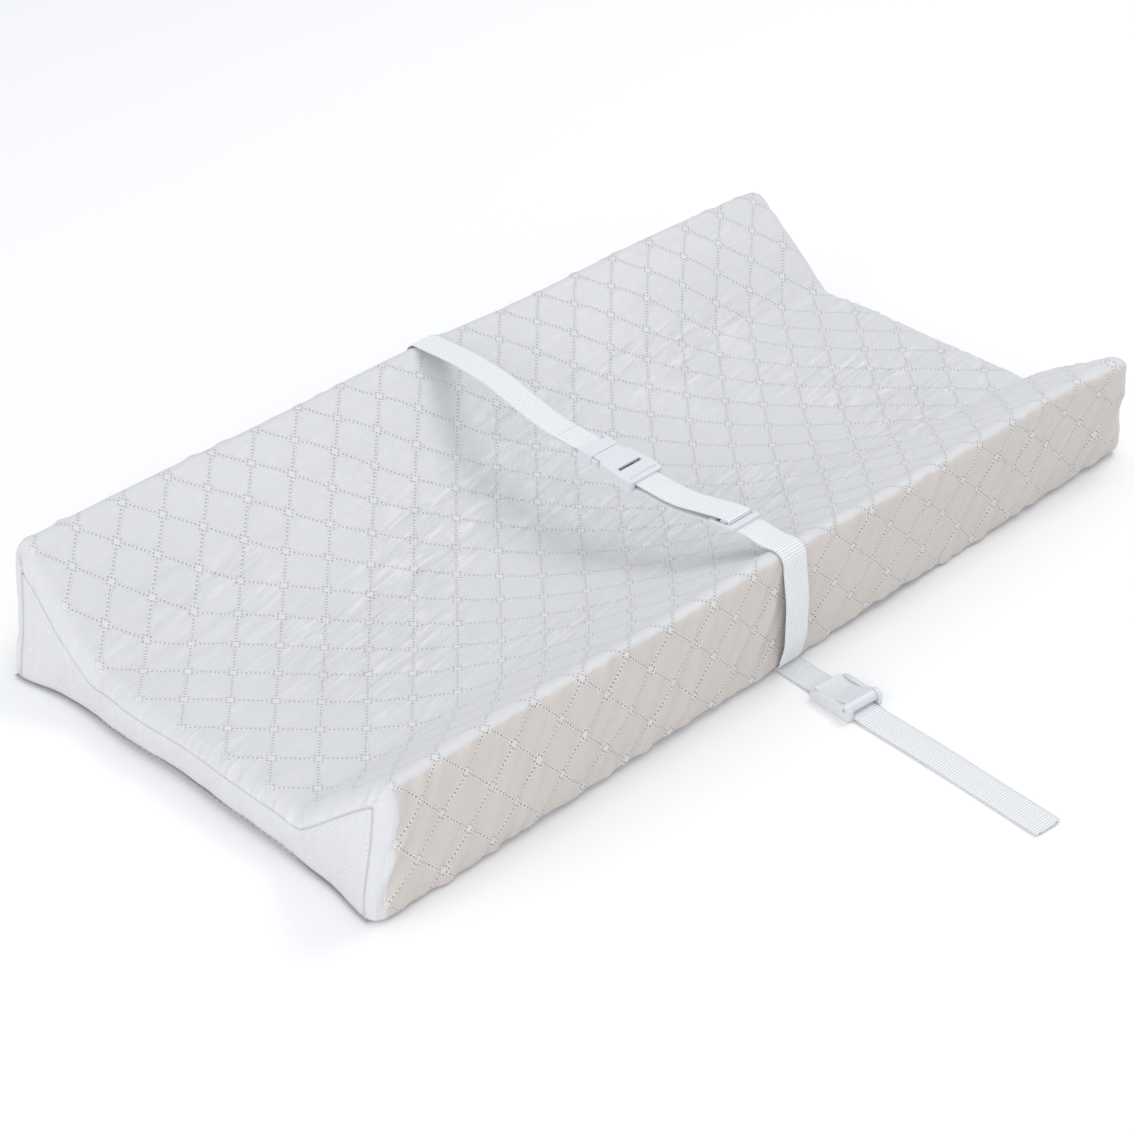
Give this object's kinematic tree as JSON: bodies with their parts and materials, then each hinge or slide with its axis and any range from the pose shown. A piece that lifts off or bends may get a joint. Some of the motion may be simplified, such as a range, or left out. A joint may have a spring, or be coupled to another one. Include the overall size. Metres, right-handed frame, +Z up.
{
  "type": "changing pad",
  "caption": "Contoured baby changing pad with raised long sides, quilted cover, buckled safety strap and an anchor strap with a cam buckle.",
  "frame": {"origin": "centre of the pad's underside", "axes": "+X along the pad's length, +Y across it away from the anchor strap, +Z up"},
  "size_m": [0.813, 0.6577, 0.1101],
  "materials": {
    "foam": "soft polyurethane foam",
    "quilt": "quilted coated fabric, dull sheen",
    "backing": "fine non-slip fabric, matte",
    "webbing": "woven polypropylene webbing",
    "thread": "sewing thread",
    "buckle_plastic": "moulded acetal, satin",
    "pin_steel": "ground steel pin"
  },
  "bodies": {
    "pad": {"foam_core": "foam", "cover_top": "quilt", "cover_end_left": "quilt", "cover_end_right": "quilt", "cover_bottom": "backing", "strap_patch_near": "backing", "strap_patch_far": "backing", "safety_strap_far": "webbing", "safety_strap_near": "webbing", "near_box_stitching": "thread", "far_box_stitching": "thread", "buckle_female": "buckle_plastic", "anchor_strap": "webbing"},
    "buckle_plug": {"buckle_male": "buckle_plastic", "far_loop_stitching": "thread"},
    "left_prong": {"prong_left": "buckle_plastic"},
    "right_prong": {"prong_right": "buckle_plastic"},
    "slide_adjuster": {"slider": "buckle_plastic"},
    "cam_buckle": {"cam_frame": "buckle_plastic", "cam_pin": "pin_steel"},
    "cam_thumb_lever": {"cam_lever": "buckle_plastic"}
  },
  "joints": [
    {"name": "buckle_release", "type": "slide", "parent": "pad", "child": "buckle_plug", "axis": [0, 0.9976, 0.0698], "range_m": [0, 0.032], "deforming": ["safety_strap_far", "prong_left", "prong_right"]},
    {"name": "left_squeeze", "type": "hinge", "parent": "buckle_plug", "child": "left_prong", "pos_m": [-0.0181, -0.01011, 0.10228], "axis": [0, -0.0698, 0.9976], "range_deg": [0, 6.5], "stiffness_Nm_per_rad": 0.5},
    {"name": "right_squeeze", "type": "hinge", "parent": "buckle_plug", "child": "right_prong", "pos_m": [0.0021, -0.01011, 0.10228], "axis": [0, -0.0698, 0.9976], "range_deg": [-6.5, 0], "stiffness_Nm_per_rad": 0.5},
    {"name": "strap_adjust", "type": "slide", "parent": "pad", "child": "slide_adjuster", "axis": [0, 0.9925, -0.1219], "range_m": [-0.024, 0.03], "deforming": ["safety_strap_near"]},
    {"name": "cam_slide", "type": "slide", "parent": "pad", "child": "cam_buckle", "axis": [-0.0785, -0.9969, 0], "range_m": [-0.03, 0.15], "deforming": ["anchor_strap"]},
    {"name": "cam_release", "type": "hinge", "parent": "cam_buckle", "child": "cam_thumb_lever", "pos_m": [-0.01265, -0.27478, 0.00825], "axis": [0.9969, -0.0785, 0], "range_deg": [0, 100]}
  ],
  "couplings": [
    {"joint": "right_squeeze", "follows": "left_squeeze", "ratio": -1}
  ]
}
